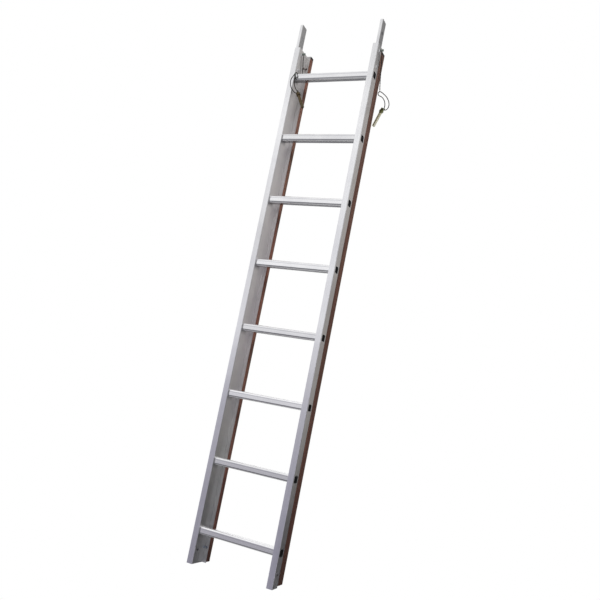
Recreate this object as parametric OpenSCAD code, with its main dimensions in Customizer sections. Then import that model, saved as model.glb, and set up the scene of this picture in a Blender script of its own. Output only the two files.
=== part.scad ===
// Roof ladder section: two aluminium stiles with timber runners, eight rungs, a
// connector tongue on top of each stile and a locking pin on a lanyard at each side.
// Millimetres. +Z runs up the stiles, X along the rungs, and the climbing side faces -Y.
// The origin lies between the two foot sockets, on the plane of the feet.

/* [Ladder] */
// Width over the outer faces of the stiles
outer_width = 350; // [320:5:420]
// Distance from rung to rung
rung_pitch = 250; // [240:5:300]
// Distance from the end of a stile to the nearest rung
end_margin = 120; // [118:1:150]

/* [Stile] */
// Width of the stile's hollow box
box_width = 23; // [22:0.5:30]
// Depth of the stile's hollow box
box_depth = 40; // [39:0.5:50]
// Wall of the box and the web
wall = 2.5; // [2:0.1:3]
// Rounding of the box's outer corners
box_corner = 1.5; // [0.5:0.1:1.9]
// Clear depth from the box to the back flange
web_depth = 25; // [22:0.5:32]
// Thickness of the back flange
flange_thickness = 3; // [2:0.1:4]
// Reach of the back flange past the inner face
flange_width = 16; // [13:0.5:20]

/* [Runner] */
// Thickness of the runner behind the flange
runner_thickness = 19; // [16:0.5:26]
// Depth of the runner's tongue beside the web
runner_leg = 18; // [14:0.5:20]
// Inset of the runner from the stile's outer face
runner_inset = 4; // [2:0.5:6]
// Reach of the runner past the flange's tip
runner_overhang = 3; // [1:0.5:6]
// Rounding of the runner's back edges
runner_corner = 2; // [1:0.5:4]
// Height of the runner's lower end above the foot
runner_foot_gap = 4; // [1:0.5:10]
// Thickness of the end cap on top of the runner
cap_thickness = 9; // [6:0.5:12]
// Depth of the end cap's spigot in the runner
cap_spigot = 10; // [6:1:16]
// Diameter of the end cap's spigot
cap_spigot_d = 8; // [6:0.5:10]

/* [Rungs] */
// Depth of the square rung tube
rung_depth = 28; // [24:0.5:30]
// Height of the square rung tube
rung_height = 28; // [24:0.5:30]
// Radius of the rung tube's corners
rung_corner = 7; // [6:0.5:9]
// Wall of the rung tube
rung_wall = 2; // [1.6:0.1:2.4]
// Depth of the end plug's face behind the rung's end
plug_recess = 2.5; // [1:0.1:4]
// Thickness of the end plug's face
plug_face = 2.5; // [2:0.1:4]
// Wall of the end plug's skirt
plug_wall = 1.6; // [1.2:0.1:2]
// Length of the end plug inside the rung
plug_length = 14; // [8:1:18]

/* [Tongues] */
// Thickness of the connector tongue
tongue_thickness = 10; // [8:0.5:12]
// Depth of the connector tongue
tongue_depth = 34.5; // [30:0.5:34.5]
// Height of the tongue above the stile
tongue_reach = 100; // [80:1:102]
// Gap between the tongue's lower end and the top rung
tongue_foot_gap = 4; // [3:0.5:8]
// Chamfer on the tongue's upper end
tongue_chamfer = 2; // [0.5:0.1:3]
// Diameter of the tongue rivets
rivet_d = 8; // [6:0.5:9]
// Diameter of the tongue rivet heads
rivet_head_d = 13; // [12:0.5:13.5]
// Height of the tongue rivet heads
rivet_head_height = 2.6; // [2:0.1:3.5]
// Height of the upper rivet above the top rung
upper_rivet_rise = 98; // [90:1:98]
// Height of the lower rivet above the top rung
lower_rivet_rise = 34; // [34:1:50]
// Diameter of the spacer sleeves round the tongue rivets
spacer_d = 12; // [11:0.5:13]

/* [Locking pins] */
// Diameter of the locking pin's shaft
pin_d = 12; // [10:0.5:13]
// Play of the locking pin in its holes, on the diameter
pin_play = 0.5; // [0.2:0.1:0.8]
// Height of the pin hole above the foot
foot_pin_height = 50; // [40:1:60]
// Height of the pin hole above the stile's top
tongue_pin_height = 50; // [40:1:60]
// Length of the pin from its eye to its tip
pin_length = 73; // [60:1:80]
// Diameter of the pin's head
pin_head_d = 17; // [16:0.5:19]
// Thickness of the pin's head
pin_head_thickness = 8; // [5:0.5:9]
// Distance from the pin's eye to its head
pin_neck = 6; // [5.5:0.5:8]
// Radius of the pin's ears round the eye
ear_radius = 4; // [3.5:0.1:4.5]
// Thickness of each ear of the pin
ear_thickness = 3; // [2:0.1:4]
// Lead-in at the pin's tip
pin_lead = 2; // [1:0.1:2.5]

/* [Runner screws] */
// Distance of the runner screws from the stile's ends
screw_end_distance = 54; // [45:1:70]
// Diameter of the runner screws
screw_d = 4.5; // [3.5:0.5:6]
// Diameter of the runner screw heads
screw_head_d = 9; // [8:0.5:11]
// Height of the runner screw heads
screw_head_height = 2.4; // [1.5:0.1:3]
// Depth of the runner screws in the wood
screw_bite = 11; // [8:1:12]

/* [Lanyards] */
// Diameter of the lanyard chains
chain_d = 4; // [3:0.1:5]
// Diameter of the lanyard wire
wire_d = 3.5; // [2.5:0.1:3.6]
// Diameter of the anchor stud
stud_d = 5; // [4:0.5:5.5]
// Diameter of the anchor stud's collar and head
stud_head_d = 9; // [8:0.5:9.5]
// Thickness of the anchor stud's collar and head
stud_head_thickness = 1.5; // [1:0.1:2]
// Length of the anchor stud between its collar and head
stud_length = 7.5; // [7:0.5:9]
// Diameter of the wire that the chain rings are bent from
ring_wire_d = 2.2; // [1.6:0.1:2.6]
// Diameter of the ball where the wire's ends are crimped
ball_d = 9; // [8:0.5:10]
// Distance from the ball to the pin's eye
ball_rise = 10; // [9.5:0.5:12]
// Thickness of the tang below the ball
tang_thickness = 3; // [2:0.1:4]
// Diameter of the rivet through the pin's eye
eye_rivet_d = 3; // [2.5:0.1:3.4]
// Height of the heads of the rivet through the pin's eye
eye_rivet_head = 1; // [0.6:0.1:1.5]

/* [Hidden] */
$fn = 48;
rung_count = 8;
// Clearance between parts that are fitted together
fit = 0.1;
// Running clearance of the pin's eye, on the radius
eye_clearance = 0.05;
// Clearance between the anchor stud and its ring, on the radius
ring_clearance = 0.4;
// Clearance between the wire loop and its link, on the radius
link_clearance = 1;
// Side clearance between the tang and the pin's ears
tang_clearance = 0.5;
// Overrun of every cut
over = 1;

stile_length = (rung_count - 1) * rung_pitch + 2 * end_margin;
top_rung = stile_length - end_margin;
half_depth = box_depth / 2;
flange_front = half_depth + web_depth;
flange_back = flange_front + flange_thickness;
flange_tip = box_width + flange_width;
runner_back = flange_back + runner_thickness;
runner_front = flange_back - runner_leg;
runner_tip = flange_tip + runner_overhang;
runner_top = stile_length - cap_thickness;
web_outer = box_width - wall;
tongue_back = half_depth - wall;
tongue_middle = tongue_back - tongue_depth / 2;
tongue_inner = wall + tongue_thickness;
tongue_low = top_rung + rung_height / 2 + tongue_foot_gap;
tongue_height = stile_length + tongue_reach - tongue_low;
rivet_heights = [top_rung + upper_rivet_rise, top_rung + lower_rivet_rise];
screw_heights = [screw_end_distance, stile_length - screw_end_distance];
web_screw_y = (runner_front + flange_back) / 2;
flange_screw_x = box_width + flange_width / 2;
// Height of the anchor studs above the top rung
stud_rise = 108;
stud_z = top_rung + stud_rise;
ring_radius = stud_d / 2 + ring_clearance + ring_wire_d / 2;
link_radius = wire_d / 2 + link_clearance + ring_wire_d / 2;
// Depth of each stud behind the box's middle plane
stud_y_left = 9.5;
stud_y_right = 12;
// Depth of the right stud's thread in the tongue
stud_thread = 8;

// Places of the lanyards, from the box's inner face at the left and the outer face at the right,
// at the height of the top rung
left_base = [box_width - outer_width / 2, 0, top_rung];
right_base = [outer_width / 2, 0, top_rung];

// Where the pins hang: the eye of each pin, its turns about X and then Y, and the turn of the
// crimp ball's tang about the eye
left_eye = [19, 0, -59.7];
left_turn = [0, -29, 0];
left_tang_turn = -60;
right_eye = [19.8, 87, -86.4];
right_turn = [8, 24, 0];
right_tang_turn = -78;

// Links that join the chains to the wire loops: middle, and turn about Z
left_link = [5, -24.2, 4];
left_link_turn = 90;
right_link = [6, 60.8, -28.2];
right_link_turn = 22;

// Routes of the chains and the wire loops
chain_route_left = [
    [5, 11, 103], [5, 12, 94], [5, 13, 85], [5, 16, 76], [5, 19, 67], [5, 22, 58], [5, 25, 49],
    [5, 27, 40], [5, 28, 31], [5, 27, 23], [5, 22, 17], [5, 14, 16], [5, 6, 17], [5, -2, 17.2],
    [5, -10, 17.2], [5, -17, 15.5], [5, -22, 12], [5, -24.2, 8]
];
chain_route_right = [
    [6, 14, 103], [6, 20, 85], [6, 26, 67], [6, 32, 49], [6, 38, 31], [6, 44, 13], [6, 47.5, 3],
    [6, 51, -7], [6, 55, -16], [6, 59.3, -24.2]
];
loop_route_left = [
    [13, 8.2, -56.8], [9.3, 5, -58.9], [7.5, -0.5, -60.8], [7, -8, -61.3], [5.5, -16, -60], [2, -22.5, -56],
    [-0.5, -27, -50.5], [-2.5, -30, -43], [-4, -31.5, -34.5], [-4.5, -32, -25], [-2.5, -32, -17],
    [1.2, -32, -11], [4, -31.8, -7.2], [5, -31.1, -2.8], [5, -28.7, 1.4], [5, -24.2, 3],
    [5, -19.7, 1.4], [5, -17.3, -2.8], [5, -16.9, -7.5], [4.5, -16.8, -13.5], [4, -16.8, -20],
    [4, -16.3, -28], [5.5, -13.5, -37], [8.5, -8.5, -44.8], [12, -2.5, -50.2], [14.8, 3.2, -52.8],
    [16.6, 7.6, -53.6]
];
loop_route_right = [
    [22.6, 97, -85], [27.2, 97.5, -86], [31.5, 98, -84], [34.9, 98.4, -80], [37.5, 98.4, -74.5],
    [39, 97.5, -68], [39, 95, -61], [37.2, 92, -54], [34.5, 88, -48], [30.8, 83.5, -42.5],
    [26, 78.5, -38], [20.5, 73, -34.5], [14.7, 67.6, -31.2], [10, 64.2, -29.3], [5.2, 62.3, -28.7],
    [0.8, 62.9, -30.8], [-1.4, 65.5, -34.6], [-0.8, 68.5, -38.4], [2.6, 70.8, -41.4],
    [7.5, 72, -42.6], [12, 73.8, -43.9], [16, 77.3, -46.6], [20, 82.3, -51], [22.7, 87, -56.8],
    [23.9, 91, -63.3], [23.8, 94, -70], [22.8, 95.6, -76.5], [21.6, 96.2, -81]
];
// Directions across each route, used to lay out its rings
across_x = [1, 0, 0];
across_left_loop = [3, -1, 0];
across_right_loop = [-2, 5, 2];
// Sides of a chain's and a wire's tube
chain_sides = 10;
wire_sides = 8;

alloy = "#c9c9cf";
timber = "#6b4638";
black_plastic = "#141414";
dark_plastic = "#4b4b4e";
steel = "#9a9a98";
yellow_zinc = "#9a8f45";

// Puts children of the left stile's frame in place: x inward from the outer face, y back, z up
module on_side(right) {
    if (right)
        mirror([1, 0, 0]) translate([-outer_width / 2, 0, 0]) children();
    else
        translate([-outer_width / 2, 0, 0]) children();
}

// Square with round corners, drawn from its lower left corner
module round_square(size, r) {
    translate([r, 0]) square([size.x - 2 * r, size.y]);
    translate([0, r]) square([size.x, size.y - 2 * r]);
    for (x = [r, size.x - r], y = [r, size.y - r])
        translate([x, y]) circle(r);
}

// Outline of a rung, grown or shrunk by a margin
module rung_outline(margin) {
    size = [rung_depth + 2 * margin, rung_height + 2 * margin];
    translate(-size / 2) round_square(size, rung_corner + margin);
}

// Lays a flat outline of (y, z) along X
module along_x(length) {
    rotate([90, 0, 90]) linear_extrude(length) children();
}

// Round bar along X from its start
module bar_x(d, length) {
    rotate([0, 90, 0]) cylinder(d = d, h = length);
}

// Round bar along Y from its start
module bar_y(d, length) {
    rotate([-90, 0, 0]) cylinder(d = d, h = length);
}

// Low domed head on the XY plane
module dome(d, h) {
    r = (h * h + d * d / 4) / (2 * h);
    intersection() {
        translate([0, 0, h - r]) sphere(r, $fn = 64);
        cylinder(d = d, h = h);
    }
}

// Ring of round wire about the X axis
module wire_ring(radius, wire) {
    rotate([0, 90, 0]) rotate_extrude() translate([radius, 0]) circle(d = wire);
}

function unit(v) = v / norm(v);
function way(route, i) = unit(route[min(i + 1, len(route) - 1)] - route[max(i - 1, 0)]);
function hoop(route, i, r, sides, across) =
    let (t = way(route, i), a = unit(cross(t, across)), b = cross(t, a))
    [for (k = [0 : sides - 1]) route[i] + r * (cos(360 * k / sides) * a + sin(360 * k / sides) * b)];

// Tube along a route, as one closed skin
module cord(route, d, sides, across) {
    last = len(route) - 1;
    points = [for (i = [0 : last]) each hoop(route, i, d / 2, sides, across)];
    walls = [for (i = [0 : last - 1], k = [0 : sides - 1])
        let (a = i * sides + k, b = i * sides + (k + 1) % sides)
        each [[a, a + sides, b + sides], [a, b + sides, b]]];
    first_end = [for (k = [0 : sides - 1]) k];
    last_end = [for (k = [sides - 1 : -1 : 0]) last * sides + k];
    polyhedron(points, concat(walls, [first_end, last_end]));
}

module stile_section() {
    difference() {
        translate([0, -half_depth]) round_square([box_width, box_depth], box_corner);
        translate([wall, wall - half_depth]) square([box_width - 2 * wall, box_depth - 2 * wall]);
    }
    translate([web_outer, half_depth - wall]) square([wall, flange_back - half_depth + wall]);
    translate([web_outer, flange_front]) square([flange_tip - web_outer, flange_thickness]);
}

module stile(right) {
    color(alloy) on_side(right) difference() {
        linear_extrude(stile_length) stile_section();
        for (i = [0 : rung_count - 1])
            translate([-over, 0, end_margin + i * rung_pitch])
                along_x(box_width + 2 * over) rung_outline(fit);
        translate([-over, 0, foot_pin_height]) bar_x(pin_d + pin_play, box_width + 2 * over);
        for (z = rivet_heights)
            translate([-over, tongue_middle, z]) bar_x(rivet_d + 2 * fit, box_width + 2 * over);
        for (z = screw_heights) {
            translate([web_outer - over, web_screw_y, z]) bar_x(screw_d + 2 * fit, wall + 2 * over);
            translate([flange_screw_x, flange_front - over, z])
                bar_y(screw_d + 2 * fit, flange_thickness + 2 * over);
        }
        if (right)
            translate([-over, stud_y_right, stud_z]) bar_x(stud_d + 2 * fit, wall + 2 * over);
        else
            translate([web_outer - over, stud_y_left, stud_z]) bar_x(stud_d + 2 * fit, wall + 2 * over);
    }
}

module runner_section() {
    translate([runner_inset, flange_back])
        round_square([runner_tip - runner_inset, runner_thickness], runner_corner);
    translate([runner_inset, flange_back]) square([runner_tip - runner_inset, runner_corner]);
    translate([runner_inset, runner_front]) square([web_outer - runner_inset, runner_leg + runner_corner]);
}

module runner(right) {
    cap_x = (runner_inset + runner_tip) / 2;
    cap_y = flange_back + runner_thickness / 2;
    color(timber) on_side(right) difference() {
        translate([0, 0, runner_foot_gap]) linear_extrude(runner_top - runner_foot_gap) runner_section();
        for (z = screw_heights) {
            translate([web_outer - screw_bite, web_screw_y, z]) bar_x(screw_d + 2 * fit, screw_bite + over);
            translate([flange_screw_x, flange_back - over, z]) bar_y(screw_d + 2 * fit, screw_bite + over);
        }
        translate([cap_x, cap_y, runner_top - cap_spigot])
            cylinder(d = cap_spigot_d + 2 * fit, h = cap_spigot + over);
    }
}

module runner_cap(right) {
    cap_x = (runner_inset + runner_tip) / 2;
    cap_y = flange_back + runner_thickness / 2;
    color(dark_plastic) on_side(right) {
        translate([0, 0, runner_top]) linear_extrude(cap_thickness) runner_section();
        translate([cap_x, cap_y, runner_top - cap_spigot + fit])
            cylinder(d = cap_spigot_d, h = cap_spigot);
    }
}

module rung(i) {
    color(alloy) translate([-outer_width / 2, 0, end_margin + i * rung_pitch])
        along_x(outer_width) difference() {
            rung_outline(0);
            rung_outline(-rung_wall);
        }
}

module rung_plugs(right) {
    inside = -rung_wall - fit;
    color(black_plastic) on_side(right)
        for (i = [0 : rung_count - 1])
            translate([plug_recess, 0, end_margin + i * rung_pitch]) difference() {
                along_x(plug_length) rung_outline(inside);
                translate([plug_face, 0, 0]) along_x(plug_length) rung_outline(inside - plug_wall);
            }
}

module tongue(right) {
    front = tongue_back - tongue_depth;
    color(alloy) on_side(right) difference() {
        translate([wall, 0, tongue_low]) along_x(tongue_thickness)
            polygon([[front, 0], [tongue_back, 0], [tongue_back, tongue_height - tongue_chamfer],
                     [tongue_back - tongue_chamfer, tongue_height],
                     [front + tongue_chamfer, tongue_height], [front, tongue_height - tongue_chamfer]]);
        for (z = rivet_heights)
            translate([wall - over, tongue_middle, z]) bar_x(rivet_d + 2 * fit, tongue_thickness + 2 * over);
        translate([wall - over, 0, stile_length + tongue_pin_height])
            bar_x(pin_d + pin_play, tongue_thickness + 2 * over);
        if (right)
            translate([wall - over, stud_y_right, stud_z]) bar_x(stud_d + 2 * fit, stud_thread + over);
    }
}

module tongue_rivets(right) {
    color(steel) on_side(right)
        for (z = rivet_heights)
            translate([0, tongue_middle, z]) {
                bar_x(rivet_d, box_width);
                translate([box_width, 0, 0]) rotate([0, 90, 0]) dome(rivet_head_d, rivet_head_height);
                rotate([0, -90, 0]) dome(rivet_head_d, rivet_head_height);
            }
}

module tongue_spacers(right) {
    color(steel) on_side(right)
        for (z = rivet_heights)
            translate([tongue_inner, tongue_middle, z]) difference() {
                bar_x(spacer_d, web_outer - tongue_inner);
                translate([-over, 0, 0]) bar_x(rivet_d + 2 * fit, web_outer - tongue_inner + 2 * over);
            }
}

module runner_screws(right) {
    color(steel) on_side(right)
        for (z = screw_heights) {
            translate([box_width, web_screw_y, z]) {
                rotate([0, 90, 0]) dome(screw_head_d, screw_head_height);
                translate([-wall - screw_bite + fit, 0, 0]) bar_x(screw_d, wall + screw_bite - fit);
            }
            translate([flange_screw_x, flange_front, z]) {
                rotate([90, 0, 0]) dome(screw_head_d, screw_head_height);
                bar_y(screw_d, flange_thickness + screw_bite - fit);
            }
        }
}

// Stud standing out along X from a wall's face, with a collar, a head and a root behind the face
module stud_shape(root) {
    translate([-root, 0, 0]) bar_x(stud_d, root + 2 * stud_head_thickness + stud_length);
    bar_x(stud_head_d, stud_head_thickness);
    translate([stud_head_thickness + stud_length, 0, 0]) bar_x(stud_head_d, stud_head_thickness);
}

module anchor_stud_left() {
    tail = wall + stud_head_thickness;
    color(steel) on_side(false) translate([box_width, stud_y_left, stud_z]) {
        stud_shape(tail);
        translate([-tail, 0, 0]) bar_x(stud_head_d, stud_head_thickness);
    }
}

module anchor_stud_right() {
    color(steel) translate([outer_width / 2, stud_y_right, stud_z])
        stud_shape(wall + stud_thread - fit);
}

module chain_ring(right) {
    base = right ? right_base : left_base;
    x = right ? chain_route_right[0].x : chain_route_left[0].x;
    y = right ? stud_y_right : stud_y_left;
    color(steel) translate(base + [x, y, stud_rise]) wire_ring(ring_radius, ring_wire_d);
}

module loop_link(right) {
    base = right ? right_base + right_link : left_base + left_link;
    turn = right ? right_link_turn : left_link_turn;
    color(steel) translate(base) rotate([0, 0, turn]) wire_ring(link_radius, ring_wire_d);
}

// Puts children at a pin's eye, with the pin hanging along -Z
module at_eye(right) {
    if (right)
        translate(right_base + right_eye) rotate(right_turn) children();
    else
        translate(left_base + left_eye) rotate(left_turn) children();
}

// Ball that holds the wire's ends, with a tang down to the pin's eye
module crimp_ball(right) {
    turn = right ? right_tang_turn : left_tang_turn;
    color(yellow_zinc) at_eye(right) rotate([turn, 0, 0]) {
        translate([0, 0, ball_rise]) sphere(d = ball_d);
        difference() {
            union() {
                translate([-tang_thickness / 2, 0, 0]) bar_x(2 * ear_radius, tang_thickness);
                translate([-tang_thickness / 2, -ear_radius / 2, 0])
                    cube([tang_thickness, ear_radius, ball_rise]);
            }
            translate([-tang_thickness, 0, 0])
                bar_x(eye_rivet_d + 2 * eye_clearance, 2 * tang_thickness);
        }
    }
}

module eye_rivet(right) {
    reach = tang_thickness / 2 + tang_clearance + ear_thickness;
    color(steel) at_eye(right) {
        translate([-reach, 0, 0]) bar_x(eye_rivet_d, 2 * reach);
        for (s = [-1, 1])
            translate([s * reach, 0, 0]) rotate([0, s * 90, 0]) dome(2 * eye_rivet_d, eye_rivet_head);
    }
}

// Locking pin hanging from its eye along -Z, with two ears, a head and a plain shaft
module locking_pin(right) {
    gap = tang_thickness / 2 + tang_clearance;
    head_low = pin_neck + pin_head_thickness;
    color(yellow_zinc) at_eye(right) {
        for (s = [0, 1])
            mirror([s, 0, 0]) difference() {
                union() {
                    translate([gap, 0, 0]) bar_x(2 * ear_radius, ear_thickness);
                    translate([gap, -ear_radius, -pin_neck])
                        cube([ear_thickness, 2 * ear_radius, pin_neck]);
                }
                translate([gap - over, 0, 0])
                    bar_x(eye_rivet_d + 2 * eye_clearance, ear_thickness + 2 * over);
            }
        translate([0, 0, -head_low]) cylinder(d = pin_head_d, h = pin_head_thickness);
        translate([0, 0, pin_lead - pin_length]) cylinder(d = pin_d, h = pin_length - pin_lead - head_low);
        translate([0, 0, -pin_length])
            cylinder(d1 = pin_d - 2 * pin_lead, d2 = pin_d, h = pin_lead);
    }
}

module chain(right) {
    if (right)
        color(steel) translate(right_base) cord(chain_route_right, chain_d, chain_sides, across_x);
    else
        color(steel) translate(left_base) cord(chain_route_left, chain_d, chain_sides, across_x);
}

module wire_loop(right) {
    if (right)
        color(steel) translate(right_base) cord(loop_route_right, wire_d, wire_sides, across_right_loop);
    else
        color(steel) translate(left_base) cord(loop_route_left, wire_d, wire_sides, across_left_loop);
}

stile(false);  // stile_left
stile(true);  // stile_right
runner(false);  // runner_left
runner(true);  // runner_right
runner_cap(false);  // runner_cap_left
runner_cap(true);  // runner_cap_right
for (i = [0 : rung_count - 1])
    rung(i);
rung_plugs(false);  // rung_plugs_left
rung_plugs(true);  // rung_plugs_right
tongue(false);  // tongue_left
tongue(true);  // tongue_right
tongue_rivets(false);  // tongue_rivets_left
tongue_rivets(true);  // tongue_rivets_right
tongue_spacers(false);  // tongue_spacers_left
tongue_spacers(true);  // tongue_spacers_right
runner_screws(false);  // runner_screws_left
runner_screws(true);  // runner_screws_right
anchor_stud_left();
anchor_stud_right();
chain_ring(false);  // chain_ring_left
chain_ring(true);  // chain_ring_right
chain(false);  // chain_left
chain(true);  // chain_right
loop_link(false);  // loop_link_left
loop_link(true);  // loop_link_right
wire_loop(false);  // wire_loop_left
wire_loop(true);  // wire_loop_right
crimp_ball(false);  // crimp_ball_left
crimp_ball(true);  // crimp_ball_right
eye_rivet(false);  // eye_rivet_left
eye_rivet(true);  // eye_rivet_right
locking_pin(false);  // locking_pin_left
locking_pin(true);  // locking_pin_right
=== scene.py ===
import math

import bmesh
import bpy
from mathutils import Matrix, Vector


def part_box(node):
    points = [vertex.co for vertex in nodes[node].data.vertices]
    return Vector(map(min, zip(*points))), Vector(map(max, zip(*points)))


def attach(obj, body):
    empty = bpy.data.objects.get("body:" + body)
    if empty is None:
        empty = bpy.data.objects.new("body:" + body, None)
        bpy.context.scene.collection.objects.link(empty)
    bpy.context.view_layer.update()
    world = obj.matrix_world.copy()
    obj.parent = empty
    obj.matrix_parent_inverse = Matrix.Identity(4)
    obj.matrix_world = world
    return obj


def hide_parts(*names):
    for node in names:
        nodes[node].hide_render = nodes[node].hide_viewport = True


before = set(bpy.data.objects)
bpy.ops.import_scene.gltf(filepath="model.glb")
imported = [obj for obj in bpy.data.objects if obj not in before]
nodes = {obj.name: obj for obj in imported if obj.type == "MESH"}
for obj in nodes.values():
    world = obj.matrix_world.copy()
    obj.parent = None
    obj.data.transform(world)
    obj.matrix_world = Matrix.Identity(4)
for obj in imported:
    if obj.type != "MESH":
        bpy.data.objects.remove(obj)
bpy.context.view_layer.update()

scene = bpy.context.scene
scene.view_settings.view_transform = "Standard"
millimetre = 0.001
sides = ("left", "right")
rungLow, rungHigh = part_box("rung_1")
rungMiddle = (rungLow.z + rungHigh.z) / 2
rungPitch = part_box("rung_2")[0].z - rungLow.z
rungNames = [name for name in nodes if name.removeprefix("rung_").isdigit()]
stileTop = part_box("stile_left")[1].z

# camera, fitted to the edges of the stiles and rungs
cameraFacts = {
    "place": (1.1187, -2.0784, 0.6020),
    "right": (0.9054, 0.38007, 0.1892),
    "forward": (-0.40497, 0.90694, 0.11605),
    "lens": 39.03,
    "sensor": 36,
    "shift": (-0.0455, 0.0655),
    "clip": (0.05, 100),
}


def addCamera(facts):
    data = bpy.data.cameras.new("photoCamera")
    data.lens = facts["lens"]
    data.sensor_width = facts["sensor"]
    data.shift_x, data.shift_y = facts["shift"]
    data.clip_start, data.clip_end = facts["clip"]
    camera = bpy.data.objects.new("photoCamera", data)
    scene.collection.objects.link(camera)
    back = -Vector(facts["forward"]).normalized()
    up = back.cross(Vector(facts["right"])).normalized()
    right = up.cross(back)
    turn = Matrix((right, up, back)).transposed().to_4x4()
    camera.matrix_world = Matrix.Translation(Vector(facts["place"])) @ turn
    scene.camera = camera


addCamera(cameraFacts)
print("camera set")

# lanyards, with routes in millimetres from the stile's face at the top rung
lanyards = {
    "left": {
        "base": (-152, 0, 1870),
        "body": "ladder",
        "chainAcross": (1, 0, 0),
        "loopAcross": (3, -1, 0),
        "chain": [
            (5, 11, 103), (5, 12, 94), (5, 13, 85), (5, 16, 76), (5, 19, 67), (5, 22, 58), (5, 25, 49),
            (5, 27, 40), (5, 28, 31), (5, 27, 23), (5, 22, 17), (5, 14, 16), (5, 6, 17), (5, -2, 17.2),
            (5, -10, 17.2), (5, -17, 15.5), (5, -22, 12), (5, -24.2, 8)],
        "loop": [
            (13, 8.2, -56.8), (9.3, 5, -58.9), (7.5, -0.5, -60.8), (7, -8, -61.3), (5.5, -16, -60),
            (2, -22.5, -56), (-0.5, -27, -50.5), (-2.5, -30, -43), (-4, -31.5, -34.5), (-4.5, -32, -25),
            (-2.5, -32, -17), (1.2, -32, -11), (4, -31.8, -7.2), (5, -31.1, -2.8), (5, -28.7, 1.4),
            (5, -24.2, 3), (5, -19.7, 1.4), (5, -17.3, -2.8), (5, -16.9, -7.5), (4.5, -16.8, -13.5),
            (4, -16.8, -20), (4, -16.3, -28), (5.5, -13.5, -37), (8.5, -8.5, -44.8), (12, -2.5, -50.2),
            (14.8, 3.2, -52.8), (16.6, 7.6, -53.6)],
    },
    "right": {
        "base": (175, 0, 1870),
        "body": "lanyard_right",
        "chainAcross": (1, 0, 0),
        "loopAcross": (-2, 5, 2),
        "chain": [
            (6, 14, 103), (6, 20, 85), (6, 26, 67), (6, 32, 49), (6, 38, 31), (6, 44, 13), (6, 47.5, 3),
            (6, 51, -7), (6, 55, -16), (6, 59.3, -24.2)],
        "loop": [
            (22.6, 97, -85), (27.2, 97.5, -86), (31.5, 98, -84), (34.9, 98.4, -80), (37.5, 98.4, -74.5),
            (39, 97.5, -68), (39, 95, -61), (37.2, 92, -54), (34.5, 88, -48), (30.8, 83.5, -42.5),
            (26, 78.5, -38), (20.5, 73, -34.5), (14.7, 67.6, -31.2), (10, 64.2, -29.3),
            (5.2, 62.3, -28.7), (0.8, 62.9, -30.8), (-1.4, 65.5, -34.6), (-0.8, 68.5, -38.4),
            (2.6, 70.8, -41.4), (7.5, 72, -42.6), (12, 73.8, -43.9), (16, 77.3, -46.6), (20, 82.3, -51),
            (22.7, 87, -56.8), (23.9, 91, -63.3), (23.8, 94, -70), (22.8, 95.6, -76.5),
            (21.6, 96.2, -81)],
    },
}
# sizes in millimetres
chainFacts = {
    "diameter": 4, "wire": 1.7, "linkLength": 8.6, "ringSteps": 8, "outlineSteps": 20, "pathStep": 3,
}
wireFacts = {
    "diameter": 3.5, "round": 3.3, "strands": 7, "lobeDepth": 0.16, "lay": 16, "around": 42, "step": 0.8,
}
curveSteps = 24  # fine steps between two points of a route


def routeOf(facts, name):
    base = Vector(facts["base"])
    return [(base + Vector(point)) * millimetre for point in facts[name]]


def fineCurve(route):
    # one smooth curve along the route, held at both ends
    held = [route[0]] * 2 + route + [route[-1]] * 2
    fine = []
    for a, b, c, d in zip(held, held[1:], held[2:], held[3:]):
        for k in range(curveSteps):
            t = k / curveSteps
            fine.append(((1 - t) ** 3 * a + (3 * t ** 3 - 6 * t * t + 4) * b
                         + (-3 * t ** 3 + 3 * t * t + 3 * t + 1) * c + t ** 3 * d) / 6)
    fine.append(route[-1].copy())
    return fine


def smoothRoute(route, step):
    # evenly spaced points on the curve, and its length
    fine = fineCurve(route)
    lengths = [0.0]
    for a, b in zip(fine, fine[1:]):
        lengths.append(lengths[-1] + (b - a).length)
    total = lengths[-1]
    count = max(2, round(total / step))
    points, j = [], 0
    for n in range(count + 1):
        want = total * n / count
        while j < len(lengths) - 2 and lengths[j + 1] < want:
            j += 1
        share = (want - lengths[j]) / max(lengths[j + 1] - lengths[j], 1e-12)
        points.append(fine[j].lerp(fine[j + 1], min(max(share, 0), 1)))
    return points, total


def frameAt(points, i, across):
    ahead = (points[min(i + 1, len(points) - 1)] - points[max(i - 1, 0)]).normalized()
    aside = ahead.cross(Vector(across)).normalized()
    return ahead, aside, ahead.cross(aside)


def addMesh(name, verts, faces, smooth=True):
    mesh = bpy.data.meshes.new(name)
    mesh.from_pydata([tuple(v) for v in verts], [], faces)
    mesh.validate()
    tool = bmesh.new()
    tool.from_mesh(mesh)
    bmesh.ops.recalc_face_normals(tool, faces=tool.faces)
    tool.to_mesh(mesh)
    tool.free()
    if smooth:
        mesh.polygons.foreach_set("use_smooth", [True] * len(mesh.polygons))
    obj = bpy.data.objects.new(name, mesh)
    scene.collection.objects.link(obj)
    return obj


def addWireRope(name, route, across, facts):
    # a round rope with the strands of its lay as lobes
    points, total = smoothRoute(route, facts["step"] * millimetre)
    radius = facts["round"] / 2 * millimetre
    around = facts["around"]
    verts, faces = [], []
    for i, point in enumerate(points):
        aside, over = frameAt(points, i, across)[1:]
        turn = 2 * math.pi * (total * i / (len(points) - 1)) / (facts["lay"] * millimetre)
        for k in range(around):
            angle = 2 * math.pi * k / around
            lobe = abs(math.sin(facts["strands"] * (angle - turn) / 2))
            reach = radius * (1 - facts["lobeDepth"] * (1 - lobe))
            verts.append(point + reach * (math.cos(angle) * aside + math.sin(angle) * over))
    for i in range(len(points) - 1):
        for k in range(around):
            a, b = i * around + k, i * around + (k + 1) % around
            faces.append((a, b, b + around, a + around))
    last = (len(points) - 1) * around
    faces.append(tuple(range(around)))
    faces.append(tuple(last + k for k in reversed(range(around))))
    return addMesh(name, verts, faces), points, total


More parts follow.
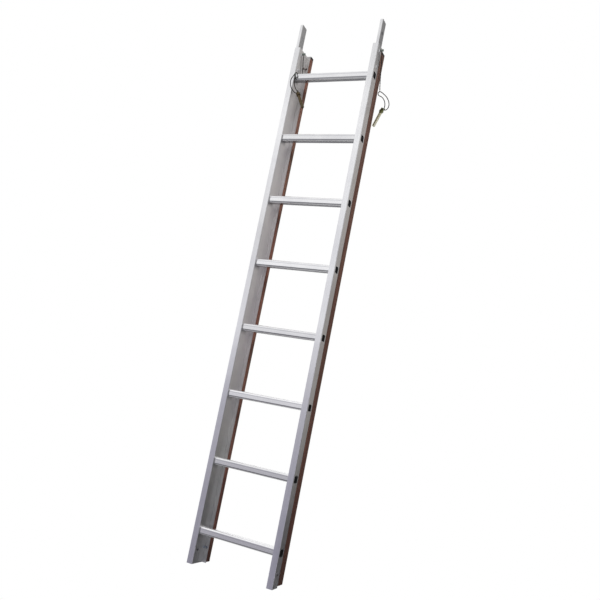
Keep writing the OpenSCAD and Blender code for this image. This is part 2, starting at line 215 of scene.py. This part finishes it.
def linkOutline(length, width, wire, steps):
    # middle line of one link: two straights and two round ends
    bend = (width - wire) / 2
    half = (length - width) / 2
    line = []
    for k in range(steps):
        angle = 2 * math.pi * k / steps
        line.append((math.copysign(half, math.cos(angle)) + bend * math.cos(angle), bend * math.sin(angle)))
    return line


def addChain(name, route, across, facts):
    # links along the route, each turned a quarter against the last
    wire = facts["wire"]
    pitch = (facts["linkLength"] - 2 * wire) * millimetre
    points, total = smoothRoute(route, pitch)
    outline = linkOutline(facts["linkLength"], facts["diameter"], wire, facts["outlineSteps"])
    steps, ring = len(outline), facts["ringSteps"]
    verts, faces = [], []
    for i in range(len(points) - 1):
        ahead, aside, over = frameAt([points[i], points[i + 1]], 0, across)
        if i % 2:
            aside, over = over, -aside
        middle = (points[i] + points[i + 1]) / 2
        start = len(verts)
        for s in range(steps):
            here, there, prior = outline[s], outline[(s + 1) % steps], outline[s - 1]
            along = Vector((there[0] - prior[0], there[1] - prior[1], 0)).normalized()
            outward = Vector((along.y, -along.x, 0))
            for k in range(ring):
                angle = 2 * math.pi * k / ring
                flat = Vector((*here, 0)) + wire / 2 * math.cos(angle) * outward
                lift = wire / 2 * math.sin(angle)
                verts.append(middle + millimetre * (flat.x * ahead + flat.y * aside + lift * over))
        for s in range(steps):
            for k in range(ring):
                a, b = s * ring + k, s * ring + (k + 1) % ring
                c, d = ((s + 1) % steps) * ring + k, ((s + 1) % steps) * ring + (k + 1) % ring
                faces.append((start + a, start + b, start + d, start + c))
    return addMesh(name, verts, faces), total


cordPieces = {}
for side, facts in lanyards.items():
    chainRoute, loopRoute = routeOf(facts, "chain"), routeOf(facts, "loop")
    chain, chainLength = addChain("chainLinks_" + side, chainRoute, facts["chainAcross"], chainFacts)
    rope, ropePath, ropeLength = addWireRope("wireRope_" + side, loopRoute, facts["loopAcross"], wireFacts)
    chainPath = smoothRoute(chainRoute, chainFacts["pathStep"] * millimetre)[0]
    for piece, stem, slotName in ((chain, "chain_", "chain_steel"), (rope, "wire_loop_", "wire_steel")):
        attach(piece, facts["body"])
        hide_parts(stem + side)
    cordPieces[side] = (chain, rope)
    print("lanyard", side, round(chainLength, 4), round(ropeLength, 4))


# parts that the finishes share
def grey(value):
    return (value, value, value)


def newFinish(name):
    finish = bpy.data.materials.new(name)
    finish.use_nodes = True
    tree = finish.node_tree
    return finish, tree, tree.nodes["Principled BSDF"]


def noiseOn(tree, scale, detail, rough, stretch=(1, 1, 1), distortion=0.0):
    coords = tree.nodes.new("ShaderNodeTexCoord")
    mapping = tree.nodes.new("ShaderNodeMapping")
    mapping.inputs["Scale"].default_value = stretch
    noise = tree.nodes.new("ShaderNodeTexNoise")
    noise.inputs["Scale"].default_value = scale
    noise.inputs["Detail"].default_value = detail
    noise.inputs["Roughness"].default_value = rough
    noise.inputs["Distortion"].default_value = distortion
    tree.links.new(coords.outputs["Object"], mapping.inputs["Vector"])
    tree.links.new(mapping.outputs["Vector"], noise.inputs["Vector"])
    return noise.outputs["Fac"]


def rampOf(tree, value, stops):
    ramp = tree.nodes.new("ShaderNodeValToRGB")
    parts = ramp.color_ramp.elements
    while len(parts) < len(stops):
        parts.new(0.5)
    for part, (place, colour) in zip(parts, stops):
        part.position = place
        part.color = (*colour, 1)
    tree.links.new(value, ramp.inputs["Fac"])
    return ramp.outputs["Color"]


def rangeOf(tree, value, fromSpan, toSpan, clamp=True):
    node = tree.nodes.new("ShaderNodeMapRange")
    node.clamp = clamp
    for name, number in zip(("From Min", "From Max", "To Min", "To Max"), (*fromSpan, *toSpan)):
        node.inputs[name].default_value = number
    tree.links.new(value, node.inputs["Value"])
    return node.outputs["Result"]


def multiply(tree, first, second):
    mix = tree.nodes.new("ShaderNodeMix")
    mix.data_type = "RGBA"
    mix.blend_type = "MULTIPLY"
    mix.inputs["Factor"].default_value = 1
    tree.links.new(first, mix.inputs["A"])
    tree.links.new(second, mix.inputs["B"])
    return mix.outputs["Result"]


def addBump(tree, shader, height, strength, distance):
    bump = tree.nodes.new("ShaderNodeBump")
    bump.inputs["Strength"].default_value = strength
    bump.inputs["Distance"].default_value = distance
    tree.links.new(height, bump.inputs["Height"])
    tree.links.new(bump.outputs["Normal"], shader.inputs["Normal"])


def placeOn(tree, axis, span, clamp=True):
    # 0 at the low place along an axis and 1 at the high one
    coords = tree.nodes.new("ShaderNodeTexCoord")
    split = tree.nodes.new("ShaderNodeSeparateXYZ")
    tree.links.new(coords.outputs["Object"], split.inputs[0])
    return rangeOf(tree, split.outputs[axis], span, (0, 1), clamp)


def pitchOn(tree):
    # runs from 0 to 1 over each pitch, with the middle of a rung at a half
    step = tree.nodes.new("ShaderNodeMath")
    step.operation = "FRACT"
    span = (rungMiddle - rungPitch / 2, rungMiddle + rungPitch / 2)
    tree.links.new(placeOn(tree, "Z", span, False), step.inputs[0])
    return step.outputs[0]


# alloy of the stiles, rungs and tongues; painted light and shade go by height as tones, and change over the
# edge behind the front
alloyFacts = {
    "lines": {"scale": 1, "detail": 3, "rough": 0.6, "stretch": (420, 420, 1.6)},
    "patches": {"scale": 9, "detail": 5, "rough": 0.6, "distortion": 0.3},
    "body": [(0.3, (0.86, 0.86, 0.875)), (0.7, (0.95, 0.95, 0.965))],
    "dull": [(0.35, (0.92, 0.92, 0.93)), (0.65, grey(1))],
    "metallic": 1.0,
    "roughness": (0.3, 0.42),
    "roughSpan": (0.25, 0.75),
    "bump": 0.12,
    "bumpDepth": 0.0004,
    "toneSpan": (0, 2.0),
}
# painted light and shade on the stiles: front and side tones by height
stileFacts = {
    "left": dict(
        alloyFacts,
        edge=(0.001, 0.006),
        frontTones=[
            (0.0, (0.735, 0.725, 0.79)), (0.3, (0.72, 0.715, 0.77)), (0.43, (0.93, 0.93, 0.95)),
            (0.61, (0.8, 0.8, 0.81)), (0.84, grey(1)), (0.97, grey(0.85))],
        sideTones=[
            (0.0, grey(0.78)), (0.2, (0.92, 0.92, 0.9)), (0.4, (1, 0.97, 0.97)), (0.85, (1, 0.98, 0.97)),
            (0.9, (0.95, 0.93, 0.91))],
        # painted shadow under each rung's end on the left stile's web
        rungShadow={
            "reach": (0.004, 0.01),
            "across": [(0.0, grey(0)), (0.12, grey(1)), (0.7, grey(1)), (1.0, grey(0))],
            "along": [
                (0.38, grey(1)), (0.425, (0.72, 0.72, 0.73)), (0.442, (0.55, 0.55, 0.56)), (0.56, grey(1))],
        }),
    "right": dict(
        alloyFacts,
        edge=(0.001, 0.006),
        frontTones=[
            (0.0, (0.725, 0.715, 0.795)), (0.3, (0.73, 0.725, 0.775)), (0.46, (0.99, 0.99, 1)),
            (0.6, (0.88, 0.88, 0.9)), (0.84, grey(1)), (0.97, grey(0.86))],
        sideTones=[
            (0.0, (0.9, 0.88, 0.9)), (0.24, (0.97, 0.95, 0.92)), (0.5, (0.8, 0.77, 0.74)),
            (0.84, (0.87, 0.84, 0.81)), (0.93, (0.8, 0.77, 0.75)), (0.98, (0.62, 0.62, 0.61))]),
}
rungFacts = dict(
    alloyFacts,
    lines=dict(alloyFacts["lines"], stretch=(1.6, 420, 420)),
    body=[(0.3, (0.95, 0.95, 0.965)), (0.7, (0.99, 0.99, 1))],
    roughness=(0.17, 0.27),
    edge=(0.0015, 0.0045),
    # painted light and shade: each rung's front gets its own tone by height
    frontTones=[
        (0.06, grey(1)), (0.185, grey(0.9)), (0.31, grey(1)), (0.435, grey(0.87)), (0.56, grey(0.935)),
        (0.685, grey(0.905)), (0.81, grey(0.85)), (0.935, grey(0.865))],
    sideTones=[(0.31, grey(1)), (0.435, grey(0.933))],
    # painted shade and light: dark and light bands across each rung's lower front, by its place in the pitch
    paintedRungBands=[
        (0.4442, grey(0.5)), (0.446, grey(1)), (0.455, grey(1)), (0.459, (0.3, 0.3, 0.31)),
        (0.4665, (0.3, 0.3, 0.31)), (0.472, (0.96, 0.96, 0.97)), (0.512, grey(0.98)),
        (0.518, (0.76, 0.76, 0.78)), (0.525, (0.76, 0.76, 0.78)), (0.53, grey(0.98))])
# painted shade on the tongues' side faces, darker on the right tongue
paintedTongueSideShade = {"left": 0.6, "right": 0.46}
tongueFacts = {
    side: dict(
        alloyFacts,
        dull=[(0.35, (0.86, 0.86, 0.87)), (0.65, grey(1))],
        edge=(0.00075, 0.00475),
        frontTones=[(0.0, grey(0.87)), (1.0, grey(0.87))],
        sideTones=[(0.0, grey(shade)), (1.0, grey(shade))])
    for side, shade in paintedTongueSideShade.items()
}


def weathering(tree, facts, front):
    # painted light and shade: fronts are painted brighter and sides darker, and both lighter or darker by
    # height as the light falls
    height = placeOn(tree, "Z", facts["toneSpan"])
    mix = tree.nodes.new("ShaderNodeMix")
    mix.data_type = "RGBA"
    span = [front + behind for behind in facts["edge"]]
    tree.links.new(placeOn(tree, "Y", span), mix.inputs["Factor"])
    tree.links.new(rampOf(tree, height, facts["frontTones"]), mix.inputs["A"])
    tree.links.new(rampOf(tree, height, facts["sideTones"]), mix.inputs["B"])
    return mix.outputs["Result"]


def grimeOn(tree, facts):
    # painted shadow on the stile just below each rung's end, from before the rung to behind it
    before, behind = facts["reach"]
    mix = tree.nodes.new("ShaderNodeMix")
    mix.data_type = "RGBA"
    mix.inputs["A"].default_value = (1, 1, 1, 1)
    across = placeOn(tree, "Y", (rungLow.y - before, rungHigh.y + behind))
    tree.links.new(rampOf(tree, across, facts["across"]), mix.inputs["Factor"])
    tree.links.new(rampOf(tree, pitchOn(tree), facts["along"]), mix.inputs["B"])
    return mix.outputs["Result"]


def alloyFinish(name, facts, node):
    finish, tree, shader = newFinish(name)
    lines = noiseOn(tree, **facts["lines"])
    patches = noiseOn(tree, **facts["patches"])
    colour = multiply(tree, rampOf(tree, lines, facts["body"]), rampOf(tree, patches, facts["dull"]))
    colour = multiply(tree, colour, weathering(tree, facts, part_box(node)[0].y))
    # painted shade bands across the rungs
    if "paintedRungBands" in facts:
        colour = multiply(tree, colour, rampOf(tree, pitchOn(tree), facts["paintedRungBands"]))
    # painted shadow below the rung ends
    if "rungShadow" in facts:
        colour = multiply(tree, colour, grimeOn(tree, facts["rungShadow"]))
    tree.links.new(colour, shader.inputs["Base Color"])
    shader.inputs["Metallic"].default_value = facts["metallic"]
    tree.links.new(rangeOf(tree, lines, facts["roughSpan"], facts["roughness"]), shader.inputs["Roughness"])
    addBump(tree, shader, lines, facts["bump"], facts["bumpDepth"])
    return finish


# timber of the runners; painted shade goes by height, darker towards the foot
timberFacts = {
    "grain": {"scale": 1, "detail": 6, "rough": 0.62, "stretch": (75, 75, 1.1), "distortion": 0.5},
    "pores": {"scale": 1, "detail": 3, "rough": 0.6, "stretch": (650, 650, 9)},
    "poreTones": [(0.38, (0.55, 0.5, 0.48)), (0.5, grey(1))],
    "roughness": (0.5, 0.72),
    "roughSpan": (0.3, 0.7),
    "shine": 0.25,
    "bump": 0.35,
    "bumpDepth": 0.0005,
}
runnerFacts = {
    # the left runner is painted lighter than the right, painted light making up for the shade on its face;
    # each has its own painted shade by height
    "left": dict(
        timberFacts,
        body=[(0.25, (0.119, 0.048, 0.035)), (0.5, (0.291, 0.122, 0.088)), (0.75, (0.4, 0.2, 0.15))],
        heightTint=[
            (0.0, (0.4, 0.42, 0.44)), (0.12, (0.75, 0.75, 0.8)), (0.37, (0.81, 0.92, 0.91)),
            (0.5, (1, 1, 0.98)), (0.63, (0.86, 0.92, 0.91)), (0.75, (0.72, 0.82, 0.78)),
            (0.85, (0.81, 0.9, 0.9)), (1.0, (0.74, 0.78, 0.78))]),
    "right": dict(
        timberFacts,
        body=[(0.25, (0.066, 0.029, 0.022)), (0.5, (0.18, 0.086, 0.064)), (0.75, (0.29, 0.158, 0.122))],
        heightTint=[
            (0.0, (0.46, 0.42, 0.41)), (0.06, (0.66, 0.56, 0.54)), (0.24, (0.95, 0.86, 0.86)),
            (0.4, (0.8, 0.76, 0.7)), (0.55, (0.93, 0.85, 0.79)), (0.75, (0.84, 0.8, 0.77)),
            (0.94, (0.8, 0.84, 0.86)), (1.0, (0.9, 1, 1))]),
}


def timberFinish(name, facts):
    finish, tree, shader = newFinish(name)
    grain = noiseOn(tree, **facts["grain"])
    pores = noiseOn(tree, **facts["pores"])
    colour = multiply(tree, rampOf(tree, grain, facts["body"]), rampOf(tree, pores, facts["poreTones"]))
    # painted shade by height, darker towards the foot
    heightTint = rampOf(tree, placeOn(tree, "Z", (0, stileTop)), facts["heightTint"])
    tree.links.new(multiply(tree, colour, heightTint), shader.inputs["Base Color"])
    tree.links.new(rangeOf(tree, grain, facts["roughSpan"], facts["roughness"]), shader.inputs["Roughness"])
    shader.inputs["Specular IOR Level"].default_value = facts["shine"]
    addBump(tree, shader, pores, facts["bump"], facts["bumpDepth"])
    return finish


# moulded plastic of the plugs and caps
mouldFacts = {
    "grain": {"scale": 900, "detail": 3, "rough": 0.6},
    "cloud": {"scale": 60, "detail": 3, "rough": 0.6},
    "roughSpan": (0.3, 0.7),
    "bumpDepth": 0.0003,
}
plasticFacts = {
    "plugPlastic": dict(
        mouldFacts, body=[(0.3, (0.003, 0.003, 0.0034)), (0.7, (0.006, 0.006, 0.0064))],
        roughness=(0.55, 0.7), bump=0.08, shine=0.08),
    "capPlastic": dict(
        mouldFacts, body=[(0.3, (0.02, 0.018, 0.018)), (0.7, (0.04, 0.037, 0.036))],
        roughness=(0.5, 0.62), bump=0.1, shine=0.25),
}


def plasticFinish(name, facts):
    finish, tree, shader = newFinish(name)
    grain = noiseOn(tree, **facts["grain"])
    cloud = noiseOn(tree, **facts["cloud"])
    tree.links.new(rampOf(tree, cloud, facts["body"]), shader.inputs["Base Color"])
    tree.links.new(rangeOf(tree, cloud, facts["roughSpan"], facts["roughness"]), shader.inputs["Roughness"])
    shader.inputs["Specular IOR Level"].default_value = facts["shine"]
    addBump(tree, shader, grain, facts["bump"], facts["bumpDepth"])
    return finish


# plated steel of the fittings; some get a tint that goes by height
platedFacts = {
    "cloud": {"scale": 160, "detail": 4, "rough": 0.65, "distortion": 0.4},
    "fine": {"scale": 1500, "detail": 2, "rough": 0.5},
    "roughSpan": (0.3, 0.7),
    "metallic": 1.0,
    "shine": 0.5,
    "bump": 0.1,
    "bumpDepth": 0.0002,
}
steelFacts = {
    "rivetAlloy": dict(
        platedFacts, body=[(0.3, (0.5, 0.5, 0.52)), (0.7, (0.66, 0.66, 0.68))], roughness=(0.35, 0.5)),
    "fittingSteel": dict(
        platedFacts, body=[(0.3, (0.3, 0.34, 0.31)), (0.7, (0.44, 0.48, 0.45))], roughness=(0.3, 0.45)),
    "screwSteel": dict(
        platedFacts, body=[(0.3, (0.2, 0.23, 0.29)), (0.7, (0.34, 0.38, 0.46))], roughness=(0.45, 0.6),
        bump=0.15, heightTintSpan=(0.1, 1.9), heightTint=[(0.0, grey(1)), (1.0, (0.55, 0.36, 0.28))]),
    "chainSteel": dict(
        platedFacts, body=[(0.3, (0.012, 0.01, 0.009)), (0.7, (0.05, 0.043, 0.04))], roughness=(0.5, 0.62),
        bump=0.08, metallic=0.15, shine=0.075),
    "wireSteel": dict(
        platedFacts, body=[(0.3, (0.014, 0.0125, 0.0095)), (0.7, (0.036, 0.033, 0.026))],
        roughness=(0.55, 0.7), metallic=0.2, shine=0.1),
    # the left pin's plating is a darker copy of the right's, painted shade for the shade it hangs in
    "pinZinc_left": dict(
        platedFacts, roughness=(0.38, 0.5),
        body=[(0.3, (0.08, 0.056, 0.032)), (0.5, (0.12, 0.09, 0.052)), (0.7, (0.14, 0.115, 0.075))]),
    "pinZinc_right": dict(
        platedFacts, roughness=(0.34, 0.46),
        body=[(0.3, (0.53, 0.5, 0.36)), (0.5, (0.72, 0.69, 0.54)), (0.7, (0.68, 0.67, 0.58))],
        heightTintSpan=(1.72, 1.79),
        heightTint=[
            (0.0, grey(1)), (0.62, (0.95, 0.94, 0.85)), (0.7, (0.26, 0.28, 0.15)),
            (1.0, (0.22, 0.24, 0.13))]),
    "ballZinc": dict(
        platedFacts, body=[(0.3, (0.08, 0.075, 0.035)), (0.7, (0.13, 0.12, 0.06))], roughness=(0.36, 0.5)),
}


def steelFinish(name, facts):
    finish, tree, shader = newFinish(name)
    cloud = noiseOn(tree, **facts["cloud"])
    fine = noiseOn(tree, **facts["fine"])
    colour = rampOf(tree, cloud, facts["body"])
    if "heightTint" in facts:
        heightTint = rampOf(tree, placeOn(tree, "Z", facts["heightTintSpan"]), facts["heightTint"])
        colour = multiply(tree, colour, heightTint)
    tree.links.new(colour, shader.inputs["Base Color"])
    shader.inputs["Metallic"].default_value = facts["metallic"]
    shader.inputs["Specular IOR Level"].default_value = facts["shine"]
    tree.links.new(rangeOf(tree, cloud, facts["roughSpan"], facts["roughness"]), shader.inputs["Roughness"])
    addBump(tree, shader, fine, facts["bump"], facts["bumpDepth"])
    return finish


finishes = {"rungAlloy": alloyFinish("rungAlloy", rungFacts, "rung_1")}
for side in sides:
    for stem, facts in (("stile", stileFacts[side]), ("tongue", tongueFacts[side])):
        name = stem + "Alloy_" + side
        finishes[name] = alloyFinish(name, facts, stem + "_" + side)
    name = "runnerTimber_" + side
    finishes[name] = timberFinish(name, runnerFacts[side])
for name, facts in plasticFacts.items():
    finishes[name] = plasticFinish(name, facts)
for name, facts in steelFacts.items():
    finishes[name] = steelFinish(name, facts)

# which finish each pair of nodes has
pairFinishes = {
    "stile_": "stileAlloy_{}", "runner_": "runnerTimber_{}", "runner_cap_": "capPlastic",
    "rung_plugs_": "plugPlastic", "tongue_": "tongueAlloy_{}", "tongue_rivets_": "rivetAlloy",
    "tongue_spacers_": "rivetAlloy", "runner_screws_": "screwSteel", "anchor_stud_": "fittingSteel",
    "chain_ring_": "fittingSteel", "chain_": "chainSteel", "loop_link_": "fittingSteel",
    "wire_loop_": "wireSteel", "crimp_ball_": "ballZinc", "eye_rivet_": "fittingSteel",
    "locking_pin_": "pinZinc_{}",
}
finishOf = {name: "rungAlloy" for name in rungNames}
for side in sides:
    for stem, finishName in pairFinishes.items():
        finishOf[stem + side] = finishName.format(side)
for name, obj in nodes.items():
    obj.data.materials.clear()
    obj.data.materials.append(finishes[finishOf[name]])
for chain, rope in cordPieces.values():
    chain.data.materials.append(finishes["chainSteel"])
    rope.data.materials.append(finishes["wireSteel"])
print("finishes on", len(nodes), "nodes")

# stage: pale floor far below, soft lamps, and grey cards that only reflections see
stageFacts = {
    "floorDrop": 1.6, "floorSize": 80, "floorShade": (0.9, 0.9, 0.9, 1), "floorRoughness": 0.9,
    "worldShade": (1, 1, 1, 1), "worldFill": 0.16,
}
lampFacts = {
    "key": {"place": (-0.3, -1.5, 4.6), "aim": (0, 0, 1.5), "size": 1.6, "power": 45, "inReflections": False},
    "side": {"place": (2.0, -1.6, 3.2), "aim": (0, 0, 1.3), "size": 1.2, "power": 60, "inReflections": False},
}
# tones run from a card's foot to its top
cardFacts = {
    "frontCard": {
        "middle": (-1.45, -2.7, -0.7), "faces": (0.47, 0.88, 0), "size": (6.0, 4.6),
        "tones": [
            (0.0, (0.15, 0.145, 0.172)), (0.42, (0.262, 0.256, 0.295)), (0.7, (0.545, 0.535, 0.575)),
            (0.78, (0.66, 0.655, 0.68)), (1.0, (0.99, 0.99, 1.0))],
    },
    "backCard": {
        "middle": (1.42, 2.65, 1.0), "faces": (-0.45, -0.89, 0), "size": (5.0, 9.0),
        "tones": [
            (0.0, (0.042, 0.042, 0.045)), (0.36, (0.052, 0.052, 0.053)), (0.46, (0.28, 0.272, 0.265)),
            (0.6, (0.44, 0.43, 0.42)), (1.0, (0.47, 0.462, 0.455))],
    },
    "farCard": {
        "middle": (-2.6, 3.4, -0.6), "faces": (0.6, -0.8, 0), "size": (5.0, 2.4),
        "tones": [(0.0, (0.2, 0.2, 0.21)), (0.9, (0.24, 0.24, 0.25)), (1.0, (0.3, 0.3, 0.31))],
    },
    "nearCard": {
        "middle": (1.75, -3.4, 1.0), "faces": (-0.44, 0.9, 0), "size": (4.0, 9.0),
        "tones": [
            (0.0, (0.07, 0.07, 0.075)), (0.36, (0.08, 0.08, 0.085)), (0.46, (0.2, 0.195, 0.19)),
            (0.6, (0.34, 0.33, 0.32)), (1.0, (0.42, 0.415, 0.4))],
    },
    "lowCard": {
        "middle": (0, 0, -1.2), "faces": (0, 0, 1), "size": (5.0, 5.0),
        "tones": [(0.0, (0.45, 0.45, 0.46)), (1.0, (0.45, 0.45, 0.46))],
    },
}
cardHiddenFrom = ("camera", "diffuse", "transmission", "volume_scatter", "shadow")


def whiteForViewer(tree):
    # one wherever the camera, a reflection or glass looks
    path = tree.nodes.new("ShaderNodeLightPath")
    seen = path.outputs["Is Camera Ray"]
    for name in ("Is Glossy Ray", "Is Transmission Ray"):
        either = tree.nodes.new("ShaderNodeMath")
        either.operation = "MAXIMUM"
        tree.links.new(seen, either.inputs[0])
        tree.links.new(path.outputs[name], either.inputs[1])
        seen = either.outputs[0]
    return seen


def setWorld(facts):
    world = bpy.data.worlds.new("studioWorld")
    scene.world = world
    world.use_nodes = True
    tree = world.node_tree
    tree.nodes.clear()
    white = tree.nodes.new("ShaderNodeBackground")
    white.inputs["Color"].default_value = facts["worldShade"]
    fill = tree.nodes.new("ShaderNodeBackground")
    fill.inputs["Color"].default_value = facts["worldShade"]
    fill.inputs["Strength"].default_value = facts["worldFill"]
    mix = tree.nodes.new("ShaderNodeMixShader")
    output = tree.nodes.new("ShaderNodeOutputWorld")
    tree.links.new(whiteForViewer(tree), mix.inputs[0])
    tree.links.new(fill.outputs[0], mix.inputs[1])
    tree.links.new(white.outputs[0], mix.inputs[2])
    tree.links.new(mix.outputs[0], output.inputs["Surface"])


def addSheet(name, width, height, lift=0):
    # one flat face about the origin
    x, y = width / 2, height / 2
    corners = [(-x, -y, lift), (x, -y, lift), (x, y, lift), (-x, y, lift)]
    return addMesh(name, corners, [(0, 1, 2, 3)], False)


def addFloor(facts):
    floor = addSheet("studioFloor", facts["floorSize"], facts["floorSize"], -facts["floorDrop"])
    finish, tree, shader = newFinish("floorWhite")
    shader.inputs["Base Color"].default_value = facts["floorShade"]
    shader.inputs["Roughness"].default_value = facts["floorRoughness"]
    glow = tree.nodes.new("ShaderNodeEmission")
    mix = tree.nodes.new("ShaderNodeMixShader")
    tree.links.new(whiteForViewer(tree), mix.inputs[0])
    tree.links.new(shader.outputs[0], mix.inputs[1])
    tree.links.new(glow.outputs[0], mix.inputs[2])
    tree.links.new(mix.outputs[0], tree.nodes["Material Output"].inputs["Surface"])
    floor.data.materials.append(finish)


def addCard(name, facts):
    width, height = facts["size"]
    card = addSheet(name, width, height)
    card.location = facts["middle"]
    card.rotation_euler = Vector(facts["faces"]).to_track_quat("Z", "Y").to_euler()
    finish, tree = newFinish(name)[:2]
    glow = tree.nodes.new("ShaderNodeEmission")
    rise = placeOn(tree, "Y", (-height / 2, height / 2))
    tree.links.new(rampOf(tree, rise, facts["tones"]), glow.inputs["Color"])
    tree.links.new(glow.outputs[0], tree.nodes["Material Output"].inputs["Surface"])
    card.data.materials.append(finish)
    for ray in cardHiddenFrom:
        setattr(card, "visible_" + ray, False)


def addLamp(name, facts):
    data = bpy.data.lights.new(name, "AREA")
    data.shape = "DISK"
    data.size = facts["size"]
    data.energy = facts["power"]
    lamp = bpy.data.objects.new(name, data)
    scene.collection.objects.link(lamp)
    lamp.location = facts["place"]
    lamp.rotation_euler = (Vector(facts["aim"]) - Vector(facts["place"])).to_track_quat("-Z", "Y").to_euler()
    lamp.visible_glossy = facts["inReflections"]


setWorld(stageFacts)
addFloor(stageFacts)
for name, facts in cardFacts.items():
    addCard(name, facts)
for name, facts in lampFacts.items():
    addLamp(name, facts)
print("stage set")
